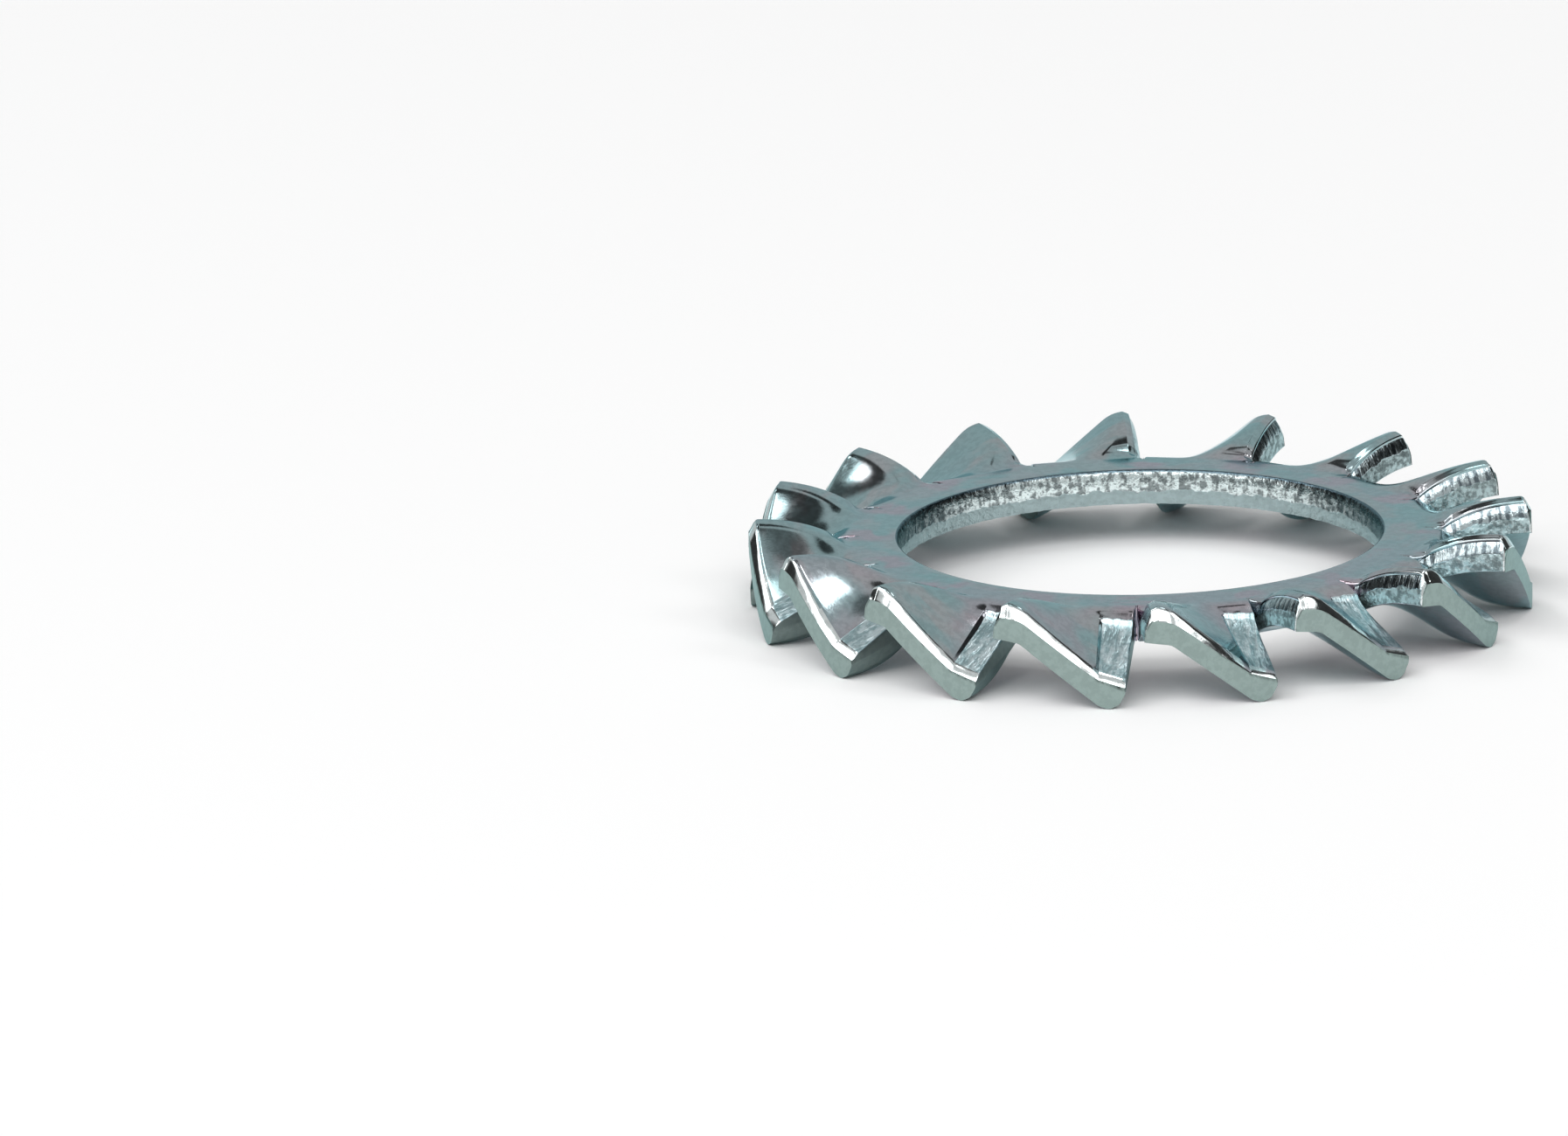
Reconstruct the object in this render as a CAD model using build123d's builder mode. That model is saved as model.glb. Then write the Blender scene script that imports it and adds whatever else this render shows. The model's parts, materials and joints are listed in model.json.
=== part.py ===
"""Toothed lock washer, external serrated type: one piece of sheet steel, stamped and set.

Millimetres. +Z is the axis of the bore, and the origin is at the middle of the bore, halfway
through the sheet. Looking down -Z, each tooth has its clockwise edge up and its other edge down.
"""

import os
from math import radians, sin

from build123d import *

# The blank: a flat ring, slit from the rim inwards into equal teeth.
bore_diameter = 12.6
outside_diameter = 20.5
sheet_thickness = 0.92
tooth_count = 16
bend_diameter = 15.3        # the flat ring ends here, and the teeth begin to turn
slit_width = 0.06           # kerf between two neighbouring teeth
bore_roll = 0.12            # rounded edge that the punch leaves round the bore

# The set of a tooth at the rim, where it is largest. Heights are upright, widths follow the sheet.
web_twist = 39.0            # degrees that the web, the tooth's middle, is turned
hinge_offset = 0.35         # the web turns about a line this far clockwise of the middle
shoulder_width = 0.7        # raised edge, pressed nearly level again
shoulder_slope = 8.0        # degrees that remain on it
shoulder_thickness = 0.96   # height of the metal there
edge_lean = 0.07            # how far its sheared side leans, each way from its middle
strip_width = 0.53          # lowered edge, pressed part of the way back
strip_slope = 20.0          # degrees that remain on it
strip_thickness = 0.76      # height of the metal where it begins
tip_thickness = 0.52        # height of the metal at its edge, squeezed by the die
tip_lean = 0.2              # how far the upper end of its sheared side leans out
tip_side = 0.17             # height of that side, above the rounded lower corner
heel_depth = 0.28           # lowest point of the tooth, below the middle of its edge
heel_inset = 0.23           # and inwards from it
heel_round_width = 0.26     # rounded corner between the lowest point and the side
heel_round_height = 0.12

# The rounded upper corner of the raised edge, on the side that the punch entered.
roll_width = 0.28
roll_drop = 0.14

# How the set grows from the root to the rim: 1 is steady, and more is steep first, level later.
raised_fade = 2.5
heel_fade = 3.2
belly_fade = 2.1

# The print that the upper die leaves along the lowered edge: a level floor below the ring's
# upper face, which ends where the tooth has turned below it.
print_offset = 0.15         # from the bend to where its end begins to sink
print_run = 0.25            # radial length of that end
print_depth = 0.43
print_wall = 0.14           # width of the wall along its inner side
strip_offset = 0.66         # from the tooth's middle to that wall's foot, at the root

bore_radius = bore_diameter / 2
outer_radius = outside_diameter / 2
bend_radius = bend_diameter / 2
half_sheet = sheet_thickness / 2
bend_length = outer_radius - bend_radius
seat_depth = bend_length / 6        # how far the root of a tooth is buried in the ring
trim_allowance = bend_length / 20   # a tooth is lofted past the rim by this, then trimmed


def half_blank(radius):
    """Half the width of a tooth's flat blank at a radius."""
    return radius * sin(radians(180 / tooth_count)) - slit_width / 2


def between(start, end, share):
    """Value that lies the given share of the way from start to end."""
    return start + (end - start) * share


# The tooth's outline at the rim: x runs across it to the lowered edge, and y is the height.
root_half = half_blank(bend_radius)
rim_half = half_blank(outer_radius)
web = Vector(1, 0).rotate(Axis.Z, -web_twist)
hinge = Vector(-hinge_offset, 0)
knee = hinge - web * (rim_half - shoulder_width - hinge_offset)
raised_edge = knee - Vector(shoulder_width, 0).rotate(Axis.Z, -shoulder_slope)
ankle = hinge + web * (rim_half - strip_width + hinge_offset)
lowered_edge = ankle + Vector(strip_width, 0).rotate(Axis.Z, -strip_slope)

edge_top = raised_edge + Vector(edge_lean, shoulder_thickness / 2)
edge_bottom = raised_edge - Vector(edge_lean, shoulder_thickness / 2)
roll_end = edge_top + Vector(roll_width, 0).rotate(Axis.Z, -shoulder_slope)
knee_top = knee + Vector(0, shoulder_thickness / 2)
knee_bottom = knee - Vector(0, shoulder_thickness / 2)
ankle_top = ankle + Vector(0, strip_thickness / 2)
ankle_bottom = ankle - Vector(0, strip_thickness / 2)
wall_top = ankle_top - web * print_wall
tip_top = lowered_edge + Vector(tip_lean, tip_thickness / 2)
tip_bottom = tip_top - Vector(0, tip_side)
heel = lowered_edge - Vector(heel_inset, heel_depth)
heel_corner = heel + Vector(heel_round_width, heel_round_height)


def tooth_section(radius):
    """Face across the tooth at a radius: each corner on its way from the flat blank to the rim."""
    turned = max(0.0, (radius - bend_radius) / bend_length)
    unturned = max(0.0, 1 - turned)
    raised = 1 - unturned**raised_fade
    heeled = 1 - unturned**heel_fade
    bellied = 1 - unturned**belly_fade
    sunk = min(1.0, max(0.0, (radius - bend_radius - print_offset) / print_run))

    def upper(across, drop, rim_corner, spread, grown):
        height = between(half_sheet - drop, rim_corner.Y, grown)
        return Vector(between(across, rim_corner.X, spread), height)

    def printed(across, rim_corner):
        corner = upper(across, 0, rim_corner, turned, turned)
        return Vector(corner.X, min(corner.Y, half_sheet - print_depth * sunk))

    def lower(across, rim_corner, spread, grown):
        height = between(-half_sheet, rim_corner.Y, grown)
        return Vector(between(across, rim_corner.X, spread), height)

    heel_root = root_half - heel_inset
    outline_points = [
        upper(-root_half, roll_drop, edge_top - Vector(0, roll_drop), turned, raised),
        upper(roll_width - root_half, 0, roll_end, turned, raised),
        upper(-hinge_offset, 0, knee_top, raised, raised),
        upper(strip_offset - print_wall, 0, wall_top, turned, turned),
        printed(strip_offset, ankle_top),
        printed(root_half, tip_top),
        lower(root_half, tip_bottom, turned, turned),
        lower(between(heel_root, root_half, 0.5), heel_corner, turned, bellied),
        lower(heel_root, heel, turned, heeled),
        lower(strip_offset, ankle_bottom, turned, bellied),
        lower(-hinge_offset, knee_bottom, raised, raised),
        lower(-root_half, edge_bottom, turned, raised),
    ]
    across_tooth = Plane.YZ.offset(radius)
    return Face(Wire.make_polygon([across_tooth.from_local_coords(point) for point in outline_points]))


print_end = bend_radius + print_offset + print_run
section_radii = [
    bend_radius - seat_depth,
    bend_radius,
    bend_radius + print_offset,
    print_end,
    between(print_end, outer_radius, 0.25),
    between(print_end, outer_radius, 0.5),
    between(print_end, outer_radius, 0.75),
    outer_radius + trim_allowance,
]
tooth_sections = [tooth_section(radius) for radius in section_radii]

with BuildPart() as tooth:
    loft(tooth_sections, ruled=True)
    # the rim is the edge of the round blank
    with BuildSketch():
        Circle(outer_radius)
    extrude(amount=outer_radius, both=True, mode=Mode.INTERSECT)

with BuildPart() as washer:
    with BuildSketch():
        Circle(bend_radius)
        Circle(bore_radius, mode=Mode.SUBTRACT)
    extrude(amount=half_sheet, both=True)
    bore_edges = washer.edges().filter_by(GeomType.CIRCLE).group_by(SortBy.RADIUS)[0]
    fillet(bore_edges.sort_by(Axis.Z)[-1], radius=bore_roll)
    with PolarLocations(0, tooth_count):
        add(tooth.part)

washer.part.label = "lock_washer"
os.makedirs("parts", exist_ok=True)
export_step(washer.part, "parts/lock_washer.step")
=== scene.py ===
import json
from math import cos, hypot, pi, radians, sin, tan

import bmesh
import bpy
import numpy as np
from mathutils import Matrix, Vector


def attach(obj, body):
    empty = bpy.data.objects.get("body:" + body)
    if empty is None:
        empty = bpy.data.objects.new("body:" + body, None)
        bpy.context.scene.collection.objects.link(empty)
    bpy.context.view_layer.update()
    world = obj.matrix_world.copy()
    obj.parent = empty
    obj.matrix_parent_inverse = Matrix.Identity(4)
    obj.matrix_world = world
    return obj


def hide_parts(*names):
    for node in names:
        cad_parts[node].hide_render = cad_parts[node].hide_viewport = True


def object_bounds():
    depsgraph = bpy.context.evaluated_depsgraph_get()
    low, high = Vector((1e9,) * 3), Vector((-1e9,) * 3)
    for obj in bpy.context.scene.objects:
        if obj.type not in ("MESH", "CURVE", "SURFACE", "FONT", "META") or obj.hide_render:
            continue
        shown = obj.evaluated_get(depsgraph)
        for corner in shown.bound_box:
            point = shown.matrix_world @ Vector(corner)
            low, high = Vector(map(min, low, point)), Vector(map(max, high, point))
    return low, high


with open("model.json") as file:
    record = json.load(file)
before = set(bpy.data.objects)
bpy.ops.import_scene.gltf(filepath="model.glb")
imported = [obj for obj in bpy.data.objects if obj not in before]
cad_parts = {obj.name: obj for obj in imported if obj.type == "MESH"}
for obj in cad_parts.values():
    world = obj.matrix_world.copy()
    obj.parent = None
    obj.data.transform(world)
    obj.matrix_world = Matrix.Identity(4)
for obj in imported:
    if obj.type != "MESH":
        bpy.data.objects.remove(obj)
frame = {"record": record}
cadLow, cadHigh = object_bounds()
mm = 0.001  # the washer is worked out in millimetres
print("frame loaded, CAD box", [round(v / mm, 3) for v in (*cadLow, *cadHigh)])

boreMount = next(mount for mount in frame["record"]["mounts"] if mount["name"] == "bore")

# one tooth and its share of the ring; heights are upright, widths run along the sheet
tooth = dict(
    count=16,
    outerRadius=cadHigh.x / mm,
    boreRadius=boreMount["dims"]["r_mm"],
    sheet=boreMount["dims"]["length_mm"],
    bendRadius=7.65,        # where the flat ring would end if it were folded sharply
    bendSoftness=0.07,      # share of the tooth's length that the rounded fold takes each way
    slitHalf=0.02,          # half the gap between two teeth at their roots
    rimSlitHalf=0.03,       # and at the rim
    webTwist=39.0,          # angles are in degrees
    hingeOffset=0.35,
    shoulderWidth=0.7,
    shoulderSlope=8.0,
    shoulderThickness=0.96,
    edgeLean=0.03,
    stripWidth=0.53,
    stripSlope=20.0,
    stripThickness=0.76,
    stripOffset=0.66,       # where the strip begins at the root
    tipThickness=0.52,
    tipLean=0.2,
    tipSide=0.17,
    heelDepth=0.28,
    heelInset=0.23,
    heelRoundWidth=0.26,
    heelRoundHeight=0.12,
    rollWidth=0.28,
    rollDrop=0.14,
    raisedFade=2.5,         # how soon each form reaches its full size on the way out
    heelFade=3.2,
    bellyFade=2.1,
    printOffset=0.39,       # from the bend to where the die began to press the strip
    printRun=0.09,
    printDepth=0.13,
    printFall=0.11,         # how much further the strip falls away outside that step
    printFallRun=0.7,
    printFade=1.3,          # how the sinking runs out towards the rim
    printWall=0.10,
)

outerRadius = tooth["outerRadius"]
halfSheet = tooth["sheet"] / 2
halfPitch = pi / tooth["count"]
toothLength = outerRadius - tooth["bendRadius"]
slitEnd = tooth["bendRadius"] - toothLength * tooth["bendSoftness"]


def turned(vector, degrees):
    turn = radians(degrees)
    return vector @ np.array([[cos(turn), sin(turn)], [-sin(turn), cos(turn)]])


def halfBlank(radius):
    return radius * tan(halfPitch) - tooth["slitHalf"]


def clamped(value):
    return min(1.0, max(0.0, value))


def smoothRise(place, start, run):
    # from 0 at the start to 1 at the end of the run, level at both
    share = clamped((place - start) / run)
    return share * share * (3 - 2 * share)


def softShare(radius):
    # share of the tooth's length at a radius, eased in over the rounded fold
    share = (radius - tooth["bendRadius"]) / toothLength
    ease = tooth["bendSoftness"]
    if share <= -ease:
        return 0.0
    if share < ease:
        return (share + ease) ** 2 / (4 * ease)
    return share


def rimCorners():
    # the section of the tooth at the rim, as x across the tooth and z upwards
    rimHalf = outerRadius * sin(halfPitch) - tooth["rimSlitHalf"]
    web = turned(np.array([1.0, 0.0]), -tooth["webTwist"])
    along = lambda width, slope: turned(np.array([width, 0.0]), -slope)
    up = lambda height: np.array([0.0, height])
    hinge = np.array([-tooth["hingeOffset"], 0.0])
    knee = hinge - web * (rimHalf - tooth["shoulderWidth"] - tooth["hingeOffset"])
    raisedEdge = knee - along(tooth["shoulderWidth"], tooth["shoulderSlope"])
    ankle = hinge + web * (rimHalf - tooth["stripWidth"] + tooth["hingeOffset"])
    loweredEdge = ankle + along(tooth["stripWidth"], tooth["stripSlope"])
    edgeTop = raisedEdge + np.array([tooth["edgeLean"], tooth["shoulderThickness"] / 2])
    tipTop = loweredEdge + np.array([tooth["tipLean"], tooth["tipThickness"] / 2])
    heel = loweredEdge - np.array([tooth["heelInset"], tooth["heelDepth"]])
    ankleTop = ankle + up(tooth["stripThickness"] / 2)
    return dict(
        edgeTop=edgeTop - up(tooth["rollDrop"]),
        rollEnd=edgeTop + along(tooth["rollWidth"], tooth["shoulderSlope"]),
        kneeTop=knee + up(tooth["shoulderThickness"] / 2),
        wallTop=ankleTop - web * tooth["printWall"],
        ankleTop=ankleTop,
        tipTop=tipTop,
        tipBottom=tipTop - up(tooth["tipSide"]),
        heelCorner=heel + np.array([tooth["heelRoundWidth"], tooth["heelRoundHeight"]]),
        heel=heel,
        ankleBottom=ankle - up(tooth["stripThickness"] / 2),
        kneeBottom=knee - up(tooth["shoulderThickness"] / 2),
        edgeBottom=raisedEdge - np.array([tooth["edgeLean"], tooth["shoulderThickness"] / 2]),
    )


rim = rimCorners()

# how round each corner is, the share of the runs beside it that it may take,
# and the pieces in its arc and in the run after it
cornerStyle = dict(
    edgeTop=(0.10, 0.45, 4, 3),
    rollEnd=(0.20, 0.24, 4, 1),
    kneeTop=(1.05, 0.72, 8, 7),
    wallTop=(0.05, 0.25, 3, 2),
    ankleTop=(0.06, 0.45, 3, 6),
    tipTop=(0.04, 0.45, 3, 4),
    tipBottom=(0.16, 0.45, 3, 1),
    heelCorner=(0.20, 0.45, 3, 1),
    heel=(0.20, 0.45, 4, 8),
    ankleBottom=(0.40, 0.45, 4, 13),
    kneeBottom=(0.40, 0.45, 5, 9),
    edgeBottom=(0.03, 0.45, 3, 14),
)
widestHalfTurn = 1.3    # a sharper corner than this, in radians, is cut back no further

# the upper and lower runs have the same number of pieces, and so have the two sides,
# so that the rim can be gridded between them
facePieces, sidePieces = 44, 14


def runFrom(first, pieces):
    return range(first, first + pieces + 1)


topRun = runFrom(0, facePieces)
loweredSide = runFrom(topRun[-1], sidePieces)
bottomRun = runFrom(loweredSide[-1], facePieces)
raisedSide = runFrom(bottomRun[-1], sidePieces)


def sectionCorners(radius):
    share = softShare(radius)
    left = max(0.0, 1 - share)
    raised = 1 - left ** tooth["raisedFade"]
    heeled = 1 - left ** tooth["heelFade"]
    bellied = 1 - left ** tooth["bellyFade"]
    rootHalf = halfBlank(slitEnd)
    heelRoot = rootHalf - tooth["heelInset"]
    rolled = clamped((radius - slitEnd) / (toothLength * tooth["bendSoftness"] * 2))
    edgeTopZ = halfSheet - tooth["rollDrop"] * rolled

    # the die sank the strip in one short step, and further out it falls away more gently
    fromBend = radius - tooth["bendRadius"]
    sunk = smoothRise(fromBend, tooth["printOffset"], tooth["printRun"])
    fallen = smoothRise(fromBend, tooth["printOffset"], tooth["printFallRun"])
    sinking = (tooth["printDepth"] * sunk + tooth["printFall"] * fallen) * left ** tooth["printFade"]

    def place(name, x, z, widened, grown):
        # between a point at the root and the corner at the rim
        corner = rim[name]
        return [x + (corner[0] - x) * widened, z + (corner[1] - z) * grown]

    ankleTop = place("ankleTop", tooth["stripOffset"], halfSheet, share, share)
    tipTop = place("tipTop", rootHalf, halfSheet, share, share)
    ankleTop[1] -= sinking
    tipTop[1] -= sinking
    return np.array([
        place("edgeTop", -rootHalf, edgeTopZ, share, raised),
        place("rollEnd", tooth["rollWidth"] - rootHalf, halfSheet, share, raised),
        place("kneeTop", -tooth["hingeOffset"], halfSheet, raised, raised),
        place("wallTop", tooth["stripOffset"] - tooth["printWall"], halfSheet, share, share),
        ankleTop,
        tipTop,
        place("tipBottom", rootHalf, -halfSheet, share, share),
        place("heelCorner", (heelRoot + rootHalf) / 2, -halfSheet, share, bellied),
        place("heel", heelRoot, -halfSheet, share, heeled),
        place("ankleBottom", tooth["stripOffset"], -halfSheet, share, bellied),
        place("kneeBottom", -tooth["hingeOffset"], -halfSheet, raised, raised),
        place("edgeBottom", -rootHalf, -halfSheet, share, raised),
    ])


def sectionLoop(radius):
    # every loop has the same number of points, so that neighbouring loops join up in quads
    corners = sectionCorners(radius)
    arcs = []
    for i, (roundness, reach, arcPieces, _) in enumerate(cornerStyle.values()):
        here = corners[i]
        toBefore = corners[i - 1] - here
        toAfter = corners[(i + 1) % len(corners)] - here
        lengthBefore, lengthAfter = hypot(*toBefore), hypot(*toAfter)
        cosine = np.dot(toBefore, toAfter) / (lengthBefore * lengthAfter)
        halfTurn = (pi - np.arccos(np.clip(cosine, -1, 1))) / 2
        wanted = roundness * tan(min(halfTurn, widestHalfTurn))
        cut = min(wanted, lengthBefore * reach, lengthAfter * reach)
        start = here + toBefore / lengthBefore * cut
        end = here + toAfter / lengthAfter * cut
        steps = np.linspace(0, 1, arcPieces + 1)[:, None]
        arcs.append((1 - steps) ** 2 * start + 2 * steps * (1 - steps) * here + steps ** 2 * end)
    points = []
    for i, (*_, runPieces) in enumerate(cornerStyle.values()):
        points.extend(arcs[i])
        gap = arcs[(i + 1) % len(arcs)][0] - arcs[i][-1]
        points.extend(arcs[i][-1] + gap * k / runPieces for k in range(1, runPieces))
    return np.array(points)


# the section as a function of radius, sampled finely once and read in between
sampleCount = 240
sampleRadii = np.linspace(slitEnd, outerRadius, sampleCount)
sampleLoops = np.array([sectionLoop(radius) for radius in sampleRadii])
loopCount = sampleLoops.shape[1]


def loopAt(radii):
    # one radius for each point of the loop
    place = np.clip((radii - slitEnd) / (outerRadius - slitEnd), 0, 1) * (sampleCount - 1)
    low = np.minimum(place.astype(int), sampleCount - 2)
    part = (place - low)[:, None]
    index = np.arange(loopCount)
    return sampleLoops[low, index] * (1 - part) + sampleLoops[low + 1, index] * part


def wrapped(run):
    return np.array(run) % loopCount


def repeated(values, rows):
    return np.tile(values, (rows, 1))


# where each line of the tooth meets the round rim; it settles within a few rounds
settlingRounds = 6
rimX = np.full(loopCount, outerRadius)
for settling in range(settlingRounds):
    rimX = np.sqrt(outerRadius ** 2 - loopAt(rimX)[:, 0] ** 2)
rimLoop = loopAt(rimX)

# the rolled upper edge of the rim: heavy at the raised corner, fine along the web
rimRoll = dict(
    fineWidth=0.27,
    fineDrop=0.14,
    fineEase=1.0,           # share of the roll over which it curves before it runs straight
    cornerWidth=0.25,
    cornerDrop=0.40,
    cornerEase=0.35,
    fade=1.1,               # how soon the heavy corner gives way to the fine edge
    blend=0.05,             # how softly it merges with the raised edge's own rounding
    sideReach=0.1,          # how far in past its own rounding the raised edge is looked at
    slight=0.002,           # a drop of the raised edge too small to be blended
    noWidth=1e-6,           # stands for no roll where a width is divided by
    paintedSheenFrom=0.2,      # how far into the roll the face turns bright: burnished, and painted pale as a sheen
    paintedSheenRows=2,        # rows of the raised side that belong to the bright corner, burnished and painted pale as a sheen
)
# a small turned-in corner where the raised side meets the rim
rimCorner = dict(width=0.06, inset=0.05)
# the upper part of the raised side leans in where the punch dragged it
wallLean = dict(inset=0.15, share=0.65, rootRun=0.4, topPoints=13)

rollWidths = np.full(loopCount, rimRoll["noWidth"])
rollDrops = np.zeros(loopCount)
rollEases = np.full(loopCount, rimRoll["cornerEase"])
sideDrops = np.zeros(loopCount)     # how far the raised edge's own rounding has already dropped
insetWeights = np.zeros(loopCount)
leanWeights = np.zeros(loopCount)


def fineToCorner(size, weight):
    fine, corner = rimRoll["fine" + size], rimRoll["corner" + size]
    return fine + (corner - fine) * weight


for i in topRun:
    x, z = rimLoop[i]
    toStrip = (rim["ankleTop"][0] - x) / (rim["ankleTop"][0] - rimLoop[0, 0])
    weight = clamped(toStrip) ** rimRoll["fade"]
    rollWidths[i] = fineToCorner("Width", weight)
    rollDrops[i] = fineToCorner("Drop", weight)
    rollEases[i] = fineToCorner("Ease", weight)
    if x < rim["rollEnd"][0] + rimRoll["sideReach"]:
        shoulderZ = rim["rollEnd"][1] + (rim["rollEnd"][0] - x) * tan(radians(tooth["shoulderSlope"]))
        sideDrops[i] = max(0.0, shoulderZ - z)
for step, i in enumerate(wrapped(raisedSide)):
    depth = 1 - step / sidePieces
    insetWeights[i] = 1
    leanWeights[i] = max(0.0, 1 - depth / wallLean["share"]) ** 2
    # the roll of the corner carries on down the raised side
    carried = 1 - (sidePieces - step) / sidePieces
    rollWidths[i] = max(rollWidths[i], rimRoll["cornerWidth"])
    rollDrops[i] = rimRoll["cornerDrop"] * carried
    sideDrops[i] = sideDrops[0] * carried
leanWeights[:wallLean["topPoints"]] = np.linspace(1, 0, wallLean["topPoints"])

printStart = tooth["bendRadius"] + tooth["printOffset"]
printEnd = printStart + tooth["printRun"]

# a small dent at the root of the raised side
dent = dict(out=7.88, across=-1.17, length=0.13, width=0.15, depth=0.07)
# a slight swelling between the bend and the sunk strip, on that side of the tooth alone
bead = dict(
    place=tooth["bendRadius"] + 0.12, length=0.10, height=0.008, overlap=0.3, sideRun=0.25, rootRun=0.1
)
# the crumpled lip where the die began to press
lip = dict(place=printStart + 0.02, length=0.06, height=0.022, waves=2.2, phase=0.6)

beadWeights = np.zeros(loopCount)
lipWaves = np.zeros(loopCount)
stripRoot = halfBlank(slitEnd) - tooth["stripOffset"]
for i in topRun:
    fromStrip = sampleLoops[0, i, 0] - tooth["stripOffset"]
    alongLip = fromStrip / stripRoot
    if alongLip > 0:
        lipWaves[i] = sin(2 * pi * lip["waves"] * alongLip + lip["phase"])
    beadWeights[i] = clamped((fromStrip + bead["overlap"]) / bead["sideRun"])

# rows of faces along the tooth, closest together at the die's step and towards the rim
rowCounts = dict(root=12, step=4, web=10, rim=9)
rimBand = 0.40      # the millimetres next to the rim
rimCrowding = 1.3   # over 1, its rows crowd towards the rim
stations = np.concatenate([
    np.linspace(slitEnd, printStart, rowCounts["root"], endpoint=False),
    np.linspace(printStart, printEnd, rowCounts["step"], endpoint=False),
    np.linspace(printEnd, outerRadius - rimBand, rowCounts["web"], endpoint=False),
    outerRadius - rimBand * np.linspace(1, 0, rowCounts["rim"] + 1) ** rimCrowding,
])


def hill(values, place, length):
    return np.exp(-((values - place) / length) ** 2)


skin = []           # rows of x (outwards), y (across, to the lowered side), z (up)
rollShare = []      # how far into the rim's roll each point is
for station in stations:
    reach = (station - slitEnd) / (outerRadius - slitEnd)
    xs = slitEnd + (rimX - slitEnd) * reach
    section = loopAt(xs)
    intoRoll = np.clip(1 - (rimX - xs) / rollWidths, 0, 1)
    curved = np.where(intoRoll < rollEases, intoRoll ** 2 / (2 * rollEases), intoRoll - rollEases / 2)
    over = rollDrops * curved / (1 - rollEases / 2) - sideDrops
    # the rim's roll and the raised edge's roll meet in a narrow corner, without adding up
    blended = (over + np.sqrt(over ** 2 + rimRoll["blend"] ** 2)) / 2
    atRest = (np.sqrt(sideDrops ** 2 + rimRoll["blend"] ** 2) - sideDrops) / 2
    drop = np.where(sideDrops > rimRoll["slight"], blended - atRest, over + sideDrops)
    intoCorner = np.clip(1 - (rimX - xs) / rimCorner["width"], 0, 1)
    inset = rimCorner["inset"] * insetWeights * (1 - np.sqrt(np.maximum(0, 1 - intoCorner ** 2)))
    lean = wallLean["inset"] * leanWeights * np.clip((xs - slitEnd) / wallLean["rootRun"], 0, 1)
    across = section[:, 0] + inset + lean
    lift = bead["height"] * hill(xs, bead["place"], bead["length"]) * beadWeights
    lift *= np.clip((xs - slitEnd) / bead["rootRun"], 0, 1)
    lift += lip["height"] * hill(xs, lip["place"], lip["length"]) * lipWaves
    outwards = (xs - dent["out"]) / dent["length"]
    sideways = (across - dent["across"]) / dent["width"]
    drop[topRun] += dent["depth"] * np.exp(-outwards ** 2 - sideways ** 2)[topRun]
    if station == stations[-1]:
        xs = np.sqrt(outerRadius ** 2 - across ** 2)    # the last row lies on the round rim
    skin.append(np.column_stack([xs, across, section[:, 1] - drop + lift]))
    rollShare.append(intoRoll)
skin, rollShare = np.array(skin), np.array(rollShare)
print("tooth sections:", len(skin), "rows of", loopCount, "points")

# the kinds of face that the finish tells apart
kindOf = dict(rolled=0, wall=1, rim=2, bore=3, strip=4, edge=5, side=6)

# where the sheared faces are torn, and how roughly
tearing = dict(
    wallFrom=0.4,           # shares of the way down
    wallRun=0.2,
    boreFrom=0.6,
    boreRun=0.15,
    rootGap=0.1,            # millimetres from the slit's end, where nothing is torn yet
    rootRun=0.3,
    platedRun=0.25,         # at its end the slit is hardly open and stays plated over
    stripRun=0.3,           # outside the die's step, where the strip's roughness runs out
    strip=0.8,              # how rough each face is torn
    outerSide=0.5,
    slitWall=1.0,
)

vertices, faces = [], []
faceKind = []
cornerMap = []      # for each face corner: millimetres along the wall, share of the way down it
tearWeight = []     # how rough each point is torn


def addGrid(grid, kind, along=None, down=None, tear=None, flip=False):
    rows, columns = grid.shape[:2]
    first = len(vertices)
    kinds = np.broadcast_to(kind, (rows - 1, columns - 1))
    vertices.extend(map(tuple, grid.reshape(-1, 3)))
    zero = np.zeros((rows, columns))
    along = zero if along is None else along
    down = zero if down is None else down
    tearWeight.extend((zero if tear is None else tear).ravel())
    for row in range(rows - 1):
        for column in range(columns - 1):
            quad = [(row, column), (row, column + 1), (row + 1, column + 1), (row + 1, column)]
            if not flip:
                quad.reverse()
            faces.append([first + r * columns + c for r, c in quad])
            faceKind.append(kinds[row, column])
            cornerMap.extend((along[r, c], down[r, c]) for r, c in quad)


def burnishedWithPaintedSheen(rollShares, plainKind):
    # the kind of each face: burnished once the roll is under way, with a painted sheen in its colour
    middle = (rollShares[:-1, :-1] + rollShares[1:, 1:]) / 2
    return np.where(middle > rimRoll["paintedSheenFrom"], kindOf["edge"], plainKind)


stripStart = 32                     # the point of the upper run where the sunk strip begins
stripRow = rowCounts["root"]        # the row where the die began to press
webRun, stripRun = wrapped(topRun[:stripStart + 1]), wrapped(topRun[stripStart:])
addGrid(skin[:, webRun], burnishedWithPaintedSheen(rollShare[:, webRun], kindOf["rolled"]))
addGrid(skin[:stripRow + 1, stripRun], kindOf["rolled"])
stripSkin = skin[stripRow:, stripRun]
nearPrint = np.clip(1 - (stations[stripRow:] - printEnd) / tearing["stripRun"], 0, 1)
addGrid(
    stripSkin,
    burnishedWithPaintedSheen(rollShare[stripRow:, stripRun], kindOf["strip"]),
    along=stripSkin[..., 1],
    down=repeated(stations[stripRow:], len(stripRun)).T,
    tear=repeated(nearPrint * tearing["strip"], len(stripRun)).T,
)
addGrid(skin[:, wrapped(bottomRun)], kindOf["rolled"])

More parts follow.
